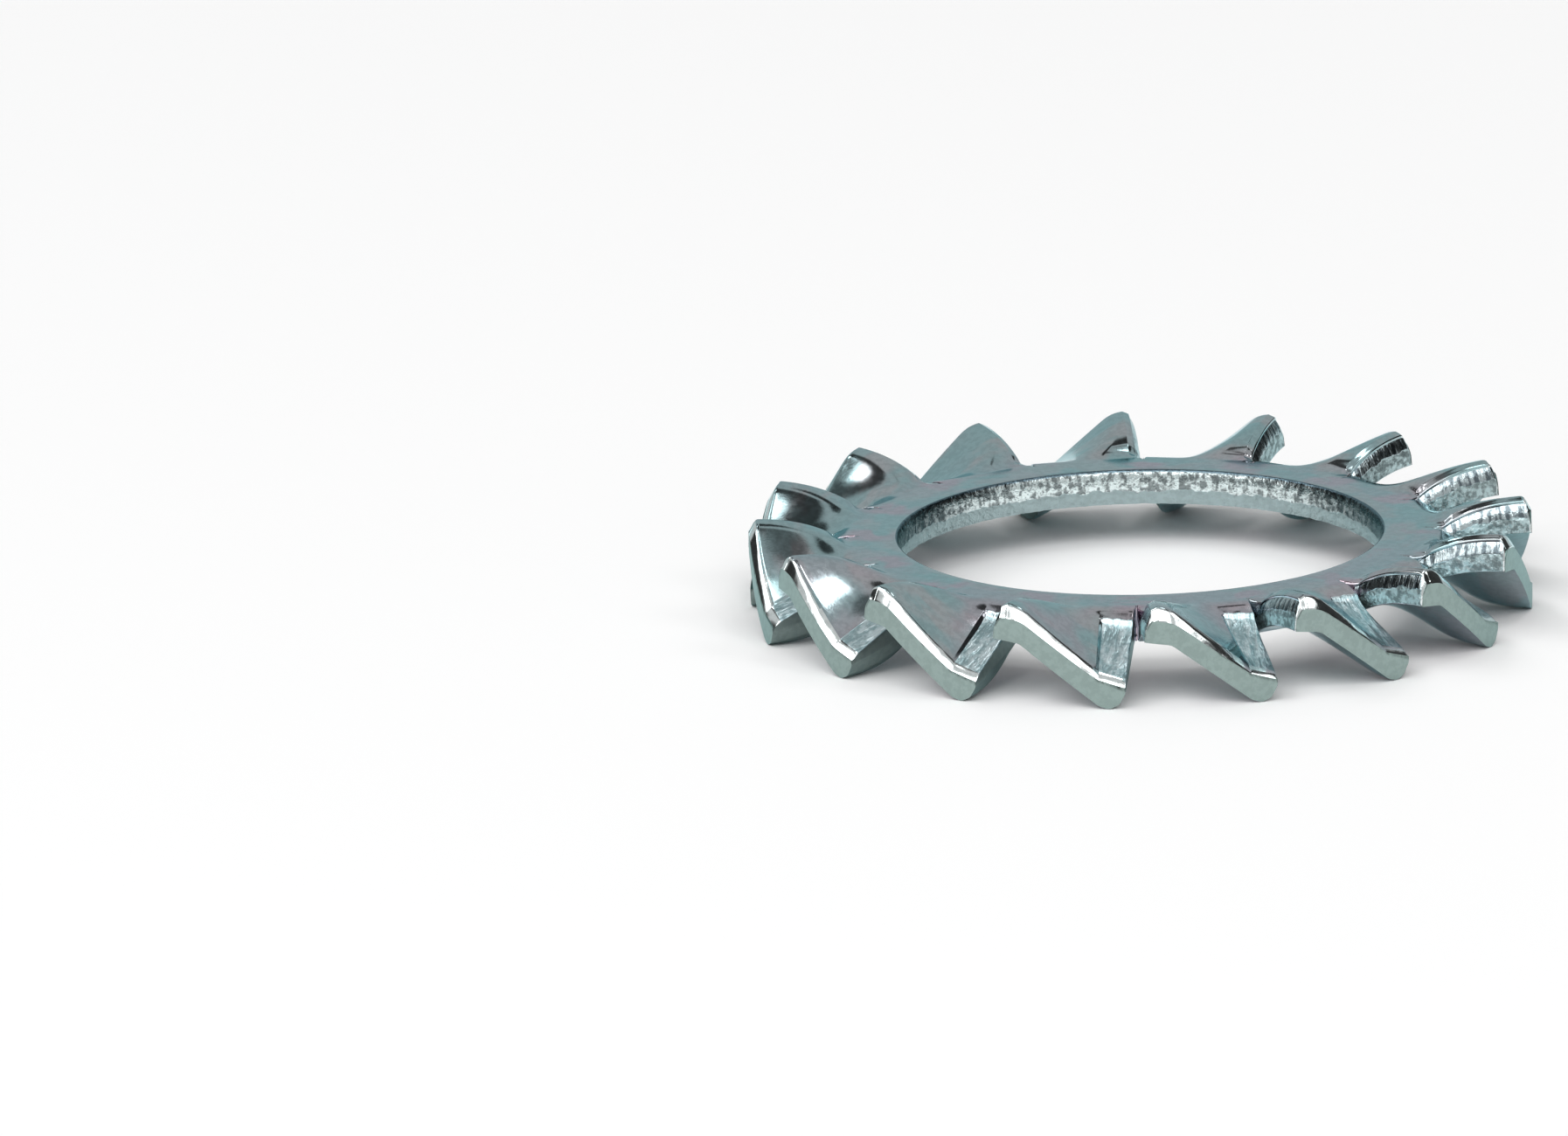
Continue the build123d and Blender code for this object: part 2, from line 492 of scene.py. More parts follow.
fromRoot = np.clip((stations - slitEnd - tearing["rootGap"]) / tearing["rootRun"], 0, 1)[:, None]
for run, kind, upwards, roughness in (
    (loweredSide, kindOf["side"], False, tearing["outerSide"]),
    (raisedSide, kindOf["wall"], True, tearing["slitWall"]),
):
    index = wrapped(run)
    down = np.linspace(0, 1, len(run))
    if upwards:
        down = down[::-1]
    torn = np.clip((down - tearing["wallFrom"]) / tearing["wallRun"], 0, 1) * roughness
    kinds = np.full((len(stations) - 1, len(run) - 1), kind)
    kinds[stations[:-1] < slitEnd + tearing["platedRun"]] = kindOf["rolled"]
    if upwards:
        kinds[-rimRoll["paintedSheenRows"]:] = kindOf["edge"]
    addGrid(
        skin[:, index],
        kinds,
        along=skin[:, index, 0],
        down=repeated(down, len(stations)),
        tear=repeated(torn, len(stations)) * fromRoot,
    )

# the rim face, spanned between the four sides of the last loop
last = skin[-1][:, 1:]
upper = last[wrapped(topRun)]
lower = last[wrapped(bottomRun)][::-1]
left = last[wrapped(raisedSide)][::-1]      # from the top down
right = last[wrapped(loweredSide)]
u = np.linspace(0, 1, len(topRun))[None, :, None]
v = np.linspace(0, 1, len(loweredSide))[:, None, None]
plain = (
    upper[0] * (1 - u) * (1 - v) + upper[-1] * u * (1 - v) + lower[0] * (1 - u) * v + lower[-1] * u * v
)
face = upper[None] * (1 - v) + lower[None] * v + left[:, None] * (1 - u) + right[:, None] * u - plain
faceX = np.sqrt(outerRadius ** 2 - face[..., 0] ** 2)
addGrid(
    np.concatenate([faceX[..., None], face], axis=2),
    kindOf["rim"],
    along=face[..., 0],
    down=repeated(v.ravel(), len(topRun)).T,
)

# the ring, from the slit's end in to the bore
ring = dict(
    topRows=8,
    bottomRows=6,
    rollRows=8,
    wallRows=8,
    boreRoll=0.11,          # the edge that the punch drew in, as a width and a height
    boreDrop=0.34,
    breakAt=0.60,           # share of the way down at which the bore breaks out wider
    breakOut=0.03,
    breakSlope=3,           # the bore is at its widest a third of the way down the torn band
)
boreRadius = tooth["boreRadius"]
edgeY = slitEnd * tan(halfPitch)


def ringRow(run, z):
    points = skin[0][wrapped(run)]
    ends = np.array([[slitEnd, -edgeY, z], [slitEnd, edgeY, z]])
    if points[0, 1] > points[-1, 1]:
        points = points[::-1]
    return np.vstack([ends[:1], points, ends[1:]])


def ringGrid(outer, z, rowCount, innerRadius):
    angles = np.arctan2(outer[:, 1], outer[:, 0])
    even = np.linspace(-halfPitch, halfPitch, len(angles))
    radii = np.hypot(outer[:, 0], outer[:, 1])
    grid = [outer]
    for share in np.linspace(0, 1, rowCount + 1)[1:]:
        angle = angles * (1 - share) + even * share
        radius = radii * (1 - share) + innerRadius * share
        grid.append(np.column_stack([radius * np.cos(angle), radius * np.sin(angle), np.full(len(angle), z)]))
    return np.array(grid)


ringTop = ringGrid(ringRow(topRun, halfSheet), halfSheet, ring["topRows"], boreRadius + ring["boreRoll"])
ringBottom = ringGrid(
    ringRow(bottomRun, -halfSheet), -halfSheet, ring["bottomRows"], boreRadius + ring["breakOut"]
)
addGrid(ringTop, kindOf["rolled"], flip=True)
bottomTear = np.zeros(ringBottom.shape[:2])
bottomTear[-1] = 1
addGrid(ringBottom, kindOf["rolled"], tear=bottomTear)

# the bore wall: rolled edge, burnished band, then the torn band, which is a little wider
profile = [
    (boreRadius + ring["boreRoll"] * (1 - sin(a)), halfSheet - ring["boreDrop"] * (1 - cos(a)))
    for a in np.linspace(0, pi / 2, ring["rollRows"])
]
bandTop = profile[-1][1]
for share in np.linspace(0, 1, ring["wallRows"] + 1)[1:]:
    torn = max(0.0, (share - ring["breakAt"]) / (1 - ring["breakAt"]))
    wider = ring["breakOut"] * min(1, torn * ring["breakSlope"])
    profile.append((boreRadius + wider, bandTop + (-halfSheet - bandTop) * share))
even = np.linspace(-halfPitch, halfPitch, ringTop.shape[1])
wall = np.array([[(r * cos(a), r * sin(a), z) for a in even] for r, z in profile])
wallDown = np.array([(halfSheet - z) / tooth["sheet"] for r, z in profile])
wallTear = np.clip((wallDown - tearing["boreFrom"]) / tearing["boreRun"], 0, 1)
addGrid(
    wall,
    kindOf["bore"],
    along=repeated(even * boreRadius, len(profile)),
    down=repeated(wallDown, len(even)).T,
    tear=repeated(wallTear, len(even)).T,
    flip=True,
)

# the slit's end, from each side wall to the middle of the slit
columnZ = np.linspace(halfSheet, -halfSheet, len(loweredSide))
columnDown = repeated(np.linspace(0, 1, len(columnZ)), 2)
for run, y, upwards in ((loweredSide, edgeY, False), (raisedSide, -edgeY, True)):
    sidePoints = skin[0][wrapped(run)]
    if upwards:
        sidePoints = sidePoints[::-1]
    middle = np.column_stack([np.full(len(columnZ), slitEnd), np.full(len(columnZ), y), columnZ])
    addGrid(np.array([sidePoints, middle]), kindOf["rolled"], down=columnDown, flip=not upwards)

toothMesh = bpy.data.meshes.new("toothSector")
toothMesh.from_pydata([tuple(c * mm for c in vertex) for vertex in vertices], [], faces)
kindLayer = toothMesh.attributes.new("faceKind", "FLOAT", "FACE")
kindLayer.data.foreach_set("value", np.array(faceKind, dtype=np.float32))
tearLayer = toothMesh.attributes.new("tearWeight", "FLOAT", "POINT")
tearLayer.data.foreach_set("value", np.array(tearWeight, dtype=np.float32))
wallMap = toothMesh.uv_layers.new(name="wallMap")
wallMap.data.foreach_set("uv", np.array(cornerMap, dtype=np.float32).ravel())
toothMesh.update()

# the grids share their borders, so their double points are joined
sectorWeld = 0.0005 * mm
edit = bmesh.new()
edit.from_mesh(toothMesh)
bmesh.ops.remove_doubles(edit, verts=edit.verts, dist=sectorWeld)
edit.to_mesh(toothMesh)
edit.free()
print("tooth sector:", len(toothMesh.polygons), "faces")


# the finish: zinc plate, satin on the rolled faces, streaked where the punch cut and matt where it tore
zinc = dict(
    teal=(0.34, 0.49, 0.51),
    grey=(0.44, 0.485, 0.50),
    mauve=(0.53, 0.42, 0.48),
    # the bore's painted glints run from this dark to the bright colour below
    boreDark=(0.07, 0.09, 0.095),
    boreBright=(0.84, 0.95, 0.95),
    # a painted dark reflection along the top of the bore wall
    paintedDarkBoreEdge=(0.10, 0.15, 0.18),
    cutDark=(0.15, 0.19, 0.21),
    cutBright=(0.52, 0.61, 0.63),
    torn=(0.39, 0.49, 0.50),
    stripDark=(0.38, 0.53, 0.56),
    stripBright=(0.74, 0.87, 0.90),
    rim=(0.32, 0.41, 0.39),
    side=(0.24, 0.30, 0.29),
    # the burnished rolled edges, painted pale as a sheen on them
    edge=(0.78, 0.84, 0.84),
    grazing=(0.67, 0.87, 0.90),     # the film looks greener at a flat angle
    polish=0.11,
    cutPolish=0.16,
    stripRoughness=0.33,
    tornRoughness=0.40,
    rimRoughness=0.40,
    unevenness=0.10,        # how much the roughness varies
    cloudSpread=4.0,        # how finely the clouds change round the ring
    mauvePlace=7.15,        # how far out the mauve film gathers, between the teeth
    mauveWidth=0.75,
    mauveElsewhere=0.35,    # how much of it also lies behind the teeth
    filmTowards=-95,        # the side of the washer with the strongest mauve film, in degrees
    webFilm=0.1,            # how mauve the webs are, and what the filmed side adds
    webFilmAdded=0.45,
    paintedSheenTowards=80,    # the side of the bore where a painted highlight makes the cut band brightest
    boreSparkle=0.25,       # how bright the bore's blotches are: painted glints
    paintedSheenSparkle=0.5,      # what the painted highlight on that side adds to them
    paintedSheenGlow=0.25,        # how much painted highlight that side has all over
    wallBreak=0.24,         # shares of the way down at which the tear may begin
    boreBreak=0.42,
    breakWander=0.36,       # how much lower it begins at most
    speckle=0.06,           # how much lighter and darker the plating is in spots
    tornSpeckle=0.42,
    wallGrit=0.3,           # how much of the bore's grit the slit walls have
)

# patterns: features for each millimetre, detail, roughness, and a factor for the scale down a wall,
# under 1 where the pattern is drawn out that way
patterns = dict(
    breakLine=(2.6, 3, 0.6, 1),
    streaks=(7.0, 3, 0.7, 0.12),
    drawnLines=(4.5, 3, 0.6, 0.3),
    bars=(4.5, 2, 0.6, 0.15),
    grains=(7.0, 3, 0.65, 1),
    grit=(5.0, 3, 0.6, 1),
    platingGrain=(20.0, 3, 0.6, 1),
    greyClouds=(0.8, 3, 0.5, 1),
    filmStreaks=(1.1, 2, 0.5, 1),
    webFilm=(0.5, 2, 0.5, 1),
    speckle=(5.5, 3, 0.6, 1),
    unevenRoll=(1.6, 1, 0.4, 1),
)

# where each mask begins and where it is full
masks = dict(
    torn=(-0.025, 0.03),
    wallBars=(0.44, 0.53),
    stripSparkle=(0.42, 0.60),
    boreBlotches=(0.44, 0.54),
    greyPatches=(0.46, 0.57),
    betweenTeeth=(0.2, -0.9),
    filmStreaks=(0.38, 0.58),
    filmedSide=(-0.1, 0.8),
    webFilm=(0.40, 0.60),
    paintedSheenSide=(0.45, 0.85),
    paintedDarkBoreEdge=(0.10, 0.04),
    speckle=(0.40, 0.60),
)

# how deep each pattern is, in millimetres
relief = dict(plating=0.0008, streaks=0.02, grit=0.04, strip=0.08, torn=0.05, bars=0.03, roll=0.03)


def makeZincPlate():
    material = bpy.data.materials.new("zincPlate")
    material.use_nodes = True
    tree = material.node_tree
    tree.nodes.clear()
    nodes, links = tree.nodes, tree.links

    def node(kind, label="", **values):
        made = nodes.new(kind)
        made.label = label
        for key, value in values.items():
            setattr(made, key, value)
        return made

    def plug(socket, value):
        if isinstance(value, (int, float)):
            socket.default_value = value
        elif isinstance(value, tuple):
            socket.default_value = (*value, 1)
        elif value is not None:
            links.new(value, socket)

    def calc(operation, a, b=None, c=None, label=""):
        made = node("ShaderNodeMath", label, operation=operation)
        for socket, value in zip(made.inputs, (a, b, c)):
            plug(socket, value)
        return made.outputs[0]

    def plus(a, b, label=""):
        return calc("ADD", a, b, label=label)

    def minus(a, b, label=""):
        return calc("SUBTRACT", a, b, label=label)

    def times(a, b, label=""):
        return calc("MULTIPLY", a, b, label=label)

    def blend(a, b, share):
        # that share of a, and the rest of b
        return plus(times(a, share), times(b, 1 - share))

    def mixColour(factor, a, b, label=""):
        made = node("ShaderNodeMix", label, data_type="RGBA")
        plug(made.inputs[0], factor)
        plug(made.inputs[6], a)
        plug(made.inputs[7], b)
        return made.outputs[2]

    def mixValue(factor, a, b, label=""):
        made = node("ShaderNodeMix", label, data_type="FLOAT")
        plug(made.inputs[0], factor)
        plug(made.inputs[2], a)
        plug(made.inputs[3], b)
        return made.outputs[0]

    def noise(vector, name):
        scale, detail, roughness, drawnOut = patterns[name]
        mapping = node("ShaderNodeMapping", name + " size")
        mapping.inputs["Scale"].default_value = Vector((1, drawnOut, 1)) * scale
        links.new(vector, mapping.inputs["Vector"])
        made = node("ShaderNodeTexNoise", name)
        made.inputs["Scale"].default_value = 1
        made.inputs["Detail"].default_value = detail
        made.inputs["Roughness"].default_value = roughness
        links.new(mapping.outputs[0], made.inputs["Vector"])
        return made.outputs["Fac"]

    def masked(value, name):
        made = node("ShaderNodeMapRange", name, interpolation_type="SMOOTHSTEP")
        made.inputs["From Min"].default_value, made.inputs["From Max"].default_value = masks[name]
        links.new(value, made.inputs["Value"])
        return made.outputs[0]

    place = node("ShaderNodeTexCoord", "place on the washer")
    perMm = node("ShaderNodeVectorMath", "millimetres", operation="SCALE")
    perMm.inputs["Scale"].default_value = 1 / mm
    links.new(place.outputs["Object"], perMm.inputs[0])
    where = perMm.outputs[0]
    axes = node("ShaderNodeSeparateXYZ", "axes")
    links.new(where, axes.inputs[0])
    radius = calc("SQRT", plus(calc("POWER", axes.outputs[0], 2.0), calc("POWER", axes.outputs[1], 2.0)))
    angle = calc("ARCTAN2", axes.outputs[1], axes.outputs[0])

    def facing(degrees):
        # 1 on that side of the washer, -1 on the other
        return calc("COSINE", minus(angle, radians(degrees)))

    wallPlace = node("ShaderNodeUVMap", "along and down the wall", uv_map="wallMap")
    onWall = wallPlace.outputs[0]
    split = node("ShaderNodeSeparateXYZ", "wall directions")
    links.new(onWall, split.inputs[0])
    down = split.outputs[1]
    faceKinds = node("ShaderNodeAttribute", "kind of face", attribute_name="faceKind")

    def isKind(name):
        return calc("COMPARE", faceKinds.outputs["Fac"], float(kindOf[name]), 0.4, name)

    isWall, isRim, isBore = isKind("wall"), isKind("rim"), isKind("bore")
    isStrip, isEdge, isSide = isKind("strip"), isKind("edge"), isKind("side")
    isSheared = plus(isWall, isBore, "sheared face")
    isMatt = plus(isRim, isSide, "matt face")

    # the line where the cut turns into a tear wanders along the wall
    wander = times(noise(where, "breakLine"), zinc["breakWander"])
    breakLine = plus(mixValue(isBore, zinc["wallBreak"], zinc["boreBreak"]), wander)
    tornMask = times(masked(minus(down, breakLine), "torn"), isSheared)
    cutMask = minus(isSheared, tornMask, "cut smooth")

    # streaks that the cutting edge drew down the walls, and the crumbled tear under them
    streaks = noise(onWall, "streaks")
    drawnLines = noise(onWall, "drawnLines")
    bars = noise(onWall, "bars")
    grains = noise(where, "grains")
    grit = noise(where, "grit")
    platingGrain = noise(where, "platingGrain")
    speckle = noise(where, "speckle")
    unevenRoll = noise(where, "unevenRoll")

    # a teal film, greyer in clouds drawn out round the ring
    flow = node("ShaderNodeCombineXYZ", "round the ring")
    plug(flow.inputs[0], times(calc("COSINE", angle), zinc["cloudSpread"]))
    plug(flow.inputs[1], times(calc("SINE", angle), zinc["cloudSpread"]))
    plug(flow.inputs[2], radius)
    roundRing = flow.outputs[0]
    greyPatches = masked(noise(roundRing, "greyClouds"), "greyPatches")
    tinted = mixColour(greyPatches, zinc["teal"], zinc["grey"], "clouded")

    # mauve where the sheet was bent: in a band between the teeth, and on the webs of one side
    betweenTeeth = masked(calc("COSINE", times(angle, float(tooth["count"]))), "betweenTeeth")
    offBand = calc("ABSOLUTE", calc("DIVIDE", minus(radius, zinc["mauvePlace"]), zinc["mauveWidth"]))
    ringBand = calc("EXPONENT", times(calc("POWER", offBand, 2.0), -1.0))
    filmStreaks = masked(noise(roundRing, "filmStreaks"), "filmStreaks")
    ringFilm = times(times(plus(betweenTeeth, zinc["mauveElsewhere"]), ringBand), filmStreaks)
    filmedSide = masked(facing(zinc["filmTowards"]), "filmedSide")
    webStrength = plus(times(filmedSide, zinc["webFilmAdded"]), zinc["webFilm"])
    webFilm = times(masked(noise(where, "webFilm"), "webFilm"), webStrength)
    mauveMask = calc("MAXIMUM", calc("MINIMUM", ringFilm, 1.0), webFilm)
    tinted = mixColour(mauveMask, tinted, zinc["mauve"], "mauve")

    # worked metal: drawn lines on the strip, bars on the slit walls, blotches in the bore; the bore's
    # blotches are painted glints, brighter under a painted highlight on one side
    stripSparkle = masked(blend(drawnLines, grains, 0.6), "stripSparkle")
    stripTint = mixColour(stripSparkle, zinc["stripDark"], zinc["stripBright"], "strip sparkle")
    wallBars = masked(blend(bars, grains, 0.75), "wallBars")
    wallTint = mixColour(wallBars, zinc["cutDark"], zinc["cutBright"], "wall bars")
    # a painted highlight over one side of the bore
    paintedSheenSide = masked(facing(zinc["paintedSheenTowards"]), "paintedSheenSide")
    blotches = masked(blend(bars, grit, 0.4), "boreBlotches")
    blotches = times(blotches, plus(times(paintedSheenSide, zinc["paintedSheenSparkle"]), zinc["boreSparkle"]))
    boreSparkle = plus(blotches, times(paintedSheenSide, zinc["paintedSheenGlow"]))
    boreTint = mixColour(boreSparkle, zinc["boreDark"], zinc["boreBright"], "bore sparkle")
    cutTint = mixColour(isBore, wallTint, boreTint, "cut")
    # a painted dark reflection along the top of the bore wall
    paintedDarkBoreEdge = times(masked(down, "paintedDarkBoreEdge"), isBore)
    for mask, tint, label in (
        (isStrip, stripTint, "strip"),
        (isRim, zinc["rim"], "rim"),
        (isSide, zinc["side"], "outer side"),
        (cutMask, cutTint, "cut"),
        (tornMask, zinc["torn"], "torn"),
        (paintedDarkBoreEdge, zinc["paintedDarkBoreEdge"], "bore edge"),
        # the rolled edges: burnished, with a painted sheen in their colour
        (isEdge, zinc["edge"], "burnished edge with painted sheen"),
    ):
        tinted = mixColour(mask, tinted, tint, label)
    speckleDepth = mixValue(times(tornMask, isWall), zinc["speckle"], zinc["tornSpeckle"], "speckle depth")
    spots = times(minus(masked(speckle, "speckle"), 0.5), times(speckleDepth, 2.0))
    shaded = node("ShaderNodeVectorMath", "speckled", operation="SCALE")
    links.new(tinted, shaded.inputs[0])
    links.new(plus(spots, 1.0), shaded.inputs["Scale"])

    rough = zinc["polish"]
    for mask, roughness, label in (
        (isMatt, zinc["rimRoughness"], "matt"),
        (isStrip, zinc["stripRoughness"], "strip"),
        (cutMask, zinc["cutPolish"], "cut"),
        (tornMask, zinc["tornRoughness"], "torn"),
    ):
        rough = mixValue(mask, rough, roughness, label)
    rough = plus(rough, times(minus(speckle, 0.5), zinc["unevenness"]), "uneven")

    gritMask = times(cutMask, mixValue(isBore, zinc["wallGrit"], 1.0))
    height = times(platingGrain, relief["plating"], "plating height")
    for pattern, mask, name in (
        (streaks, cutMask, "streaks"),
        (grit, gritMask, "grit"),
        (drawnLines, isStrip, "strip"),
        (grains, tornMask, "torn"),
        (times(bars, cutMask), isWall, "bars"),
        (unevenRoll, isEdge, "roll"),
    ):
        height = plus(height, times(times(pattern, mask), relief[name], name + " height"))
    bump = node("ShaderNodeBump", "relief")
    bump.inputs["Strength"].default_value = 1.0
    bump.inputs["Distance"].default_value = mm
    links.new(height, bump.inputs["Height"])

    shader = node("ShaderNodeBsdfPrincipled", "zinc plate")
    shader.inputs["Metallic"].default_value = 1.0
    shader.inputs["Specular Tint"].default_value = (*zinc["grazing"], 1)
    links.new(shaded.outputs[0], shader.inputs["Base Color"])
    links.new(rough, shader.inputs["Roughness"])
    links.new(bump.outputs[0], shader.inputs["Normal"])
    output = node("ShaderNodeOutputMaterial")
    links.new(shader.outputs[0], output.inputs["Surface"])
    return material


zincPlate = makeZincPlate()
print("zinc plate ready")


# the crown of teeth: one tooth turned round the bore, joined, then torn a little differently at each place
crown = dict(
    weldDistance=0.002 * mm,
    tearDepth=0.030 * mm,
    tearSize=0.30 * mm,
    tearDetail=3,
    tearRoughness=0.65,
    seed=7,
    sharpAngle=38,          # degrees between two faces past which their edge stays sharp
)


def makeCrownTree():
    tree = bpy.data.node_groups.new("crownOfTeeth", "GeometryNodeTree")
    nodes, links = tree.nodes, tree.links
    sockets = {}
    for name, kind in (
        ("Tooth", "NodeSocketGeometry"),
        ("Teeth", "NodeSocketInt"),
        ("Weld Distance", "NodeSocketFloat"),
        ("Tear Depth", "NodeSocketFloat"),
        ("Tear Size", "NodeSocketFloat"),
        ("Seed", "NodeSocketFloat"),
        ("Finish", "NodeSocketMaterial"),
    ):
        sockets[name] = tree.interface.new_socket(name=name, in_out="INPUT", socket_type=kind).identifier
    tree.interface.new_socket(name="Washer", in_out="OUTPUT", socket_type="NodeSocketGeometry")

    def node(kind, **values):
        made = nodes.new(kind)
        for key, value in values.items():
            setattr(made, key, value)
        return made

    given = node("NodeGroupInput")
    result = node("NodeGroupOutput")
    places = node("GeometryNodePoints")
    links.new(given.outputs["Teeth"], places.inputs["Count"])
    index = node("GeometryNodeInputIndex")
    step = node("ShaderNodeMath", operation="DIVIDE")
    step.inputs[0].default_value = 2 * pi
    links.new(given.outputs["Teeth"], step.inputs[1])
    angle = node("ShaderNodeMath", operation="MULTIPLY")
    links.new(index.outputs[0], angle.inputs[0])
    links.new(step.outputs[0], angle.inputs[1])
    euler = node("ShaderNodeCombineXYZ")
    links.new(angle.outputs[0], euler.inputs["Z"])
    rotation = node("FunctionNodeEulerToRotation")
    links.new(euler.outputs[0], rotation.inputs[0])
    copies = node("GeometryNodeInstanceOnPoints")
    links.new(places.outputs[0], copies.inputs["Points"])
    links.new(given.outputs["Tooth"], copies.inputs["Instance"])
    links.new(rotation.outputs[0], copies.inputs["Rotation"])
    real = node("GeometryNodeRealizeInstances")
    links.new(copies.outputs[0], real.inputs[0])
    weld = node("GeometryNodeMergeByDistance")
    links.new(real.outputs[0], weld.inputs["Geometry"])
    links.new(given.outputs["Weld Distance"], weld.inputs["Distance"])

    position = node("GeometryNodeInputPosition")
    scaled = node("ShaderNodeVectorMath", operation="DIVIDE")
    size = node("ShaderNodeCombineXYZ")
    for axis in "XYZ":
        links.new(given.outputs["Tear Size"], size.inputs[axis])
    links.new(position.outputs[0], scaled.inputs[0])
    links.new(size.outputs[0], scaled.inputs[1])
    crumble = node("ShaderNodeTexNoise", noise_dimensions="4D")
    crumble.inputs["Scale"].default_value = 1
    crumble.inputs["Detail"].default_value = crown["tearDetail"]
    crumble.inputs["Roughness"].default_value = crown["tearRoughness"]
    links.new(scaled.outputs[0], crumble.inputs["Vector"])
    links.new(given.outputs["Seed"], crumble.inputs["W"])
    centred = node("ShaderNodeVectorMath", operation="SUBTRACT")
    centred.inputs[1].default_value = (0.5, 0.5, 0.5)
    links.new(crumble.outputs["Color"], centred.inputs[0])
    weight = node("GeometryNodeInputNamedAttribute", data_type="FLOAT")
    weight.inputs["Name"].default_value = "tearWeight"
    depth = node("ShaderNodeMath", operation="MULTIPLY")
    links.new(weight.outputs[0], depth.inputs[0])
    links.new(given.outputs["Tear Depth"], depth.inputs[1])
    doubled = node("ShaderNodeMath", operation="MULTIPLY")
    doubled.inputs[1].default_value = 2
    links.new(depth.outputs[0], doubled.inputs[0])
    offset = node("ShaderNodeVectorMath", operation="SCALE")
    links.new(centred.outputs[0], offset.inputs[0])
    links.new(doubled.outputs[0], offset.inputs["Scale"])
    torn = node("GeometryNodeSetPosition")
    links.new(weld.outputs[0], torn.inputs["Geometry"])
    links.new(offset.outputs[0], torn.inputs["Offset"])
    finish = node("GeometryNodeSetMaterial")
    links.new(torn.outputs[0], finish.inputs["Geometry"])
    links.new(given.outputs["Finish"], finish.inputs["Material"])
    links.new(finish.outputs[0], result.inputs[0])
    return tree, sockets


def makeWasher():
    tree, sockets = makeCrownTree()
    source = bpy.data.objects.new("toothSource", toothMesh)
    bpy.context.scene.collection.objects.link(source)
    repeat = source.modifiers.new("crown", "NODES")
    repeat.node_group = tree
    repeat[sockets["Teeth"]] = tooth["count"]
    repeat[sockets["Weld Distance"]] = crown["weldDistance"]
    repeat[sockets["Tear Depth"]] = crown["tearDepth"]
    repeat[sockets["Tear Size"]] = crown["tearSize"]
    repeat[sockets["Seed"]] = float(crown["seed"])
    repeat[sockets["Finish"]] = zincPlate
    evaluated = source.evaluated_get(bpy.context.evaluated_depsgraph_get())
    mesh = bpy.data.meshes.new_from_object(evaluated)
    bpy.data.objects.remove(source)
    washer = bpy.data.objects.new("lockWasher", mesh)
    bpy.context.scene.collection.objects.link(washer)
    mesh.shade_smooth()
    mesh.set_sharp_from_angle(angle=radians(crown["sharpAngle"]))
    return washer


washer = makeWasher()
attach(washer, "root")
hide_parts("lock_washer")
print("washer:", len(washer.data.polygons), "faces,", len(washer.data.vertices), "points")


# the studio: a pale floor in a light room, with dark patches overhead and at both sides
studio = dict(
    floorColour=(0.95, 0.95, 0.95),
    floorRoughness=0.9,
    floorRadius=1.0,
    room=0.72,              # how bright the room is beside its dark patches
    lampDistance=0.8,
)

# the dark patches; azimuth runs counterclockwise from the camera's right, seen from above, and
# each patch reaches so many degrees round its middle, with a soft border
darkParts = (
    dict(name="ceiling", azimuth=70, elevation=83, reach=8, soft=1.5, level=0.20),
    dict(name="ceilingFar", azimuth=85, elevation=62, reach=6.5, soft=1, level=0.05),
    dict(name="ceilingFront", azimuth=-8, elevation=62, reach=6.5, soft=1.5, level=0.04),
    dict(name="rightCardTop", azimuth=6, elevation=47, reach=8, soft=2, level=0.04),
    dict(name="rightCardBack", azimuth=24, elevation=42, reach=7, soft=1.5, level=0.04),
    dict(name="leftCard", azimuth=133, elevation=50, reach=10, soft=1.5, level=0.07),
    dict(name="leftCardTop", azimuth=139, elevation=68, reach=10, soft=1.5, level=0.07),
    dict(name="leftLow", azimuth=170, elevation=8, reach=27, soft=4, level=0.04),
    dict(name="rightCard", azimuth=8, elevation=20, reach=24, soft=3, level=0.04),
    dict(name="rightCardLow", azimuth=38, elevation=16, reach=14, soft=3, level=0.05),
)


def towards(azimuth, elevation):
    turn, rise = radians(view["azimuth"] + 90 + azimuth), radians(elevation)
    return Vector((cos(turn) * cos(rise), sin(turn) * cos(rise), sin(rise)))


def makeFloor():
    edge = bmesh.new()
    bmesh.ops.create_circle(edge, cap_ends=True, segments=96, radius=studio["floorRadius"])
    mesh = bpy.data.meshes.new("floor")
    edge.to_mesh(mesh)
    edge.free()
    mesh.transform(Matrix.Translation((0, 0, cadLow.z)))
    floor = bpy.data.objects.new("floor", mesh)
    bpy.context.scene.collection.objects.link(floor)
    material = bpy.data.materials.new("paleFloor")
    material.use_nodes = True
    shader = material.node_tree.nodes["Principled BSDF"]
    shader.inputs["Base Color"].default_value = (*studio["floorColour"], 1)
    shader.inputs["Roughness"].default_value = studio["floorRoughness"]
    shader.inputs["Specular IOR Level"].default_value = 0.0
    mesh.materials.append(material)


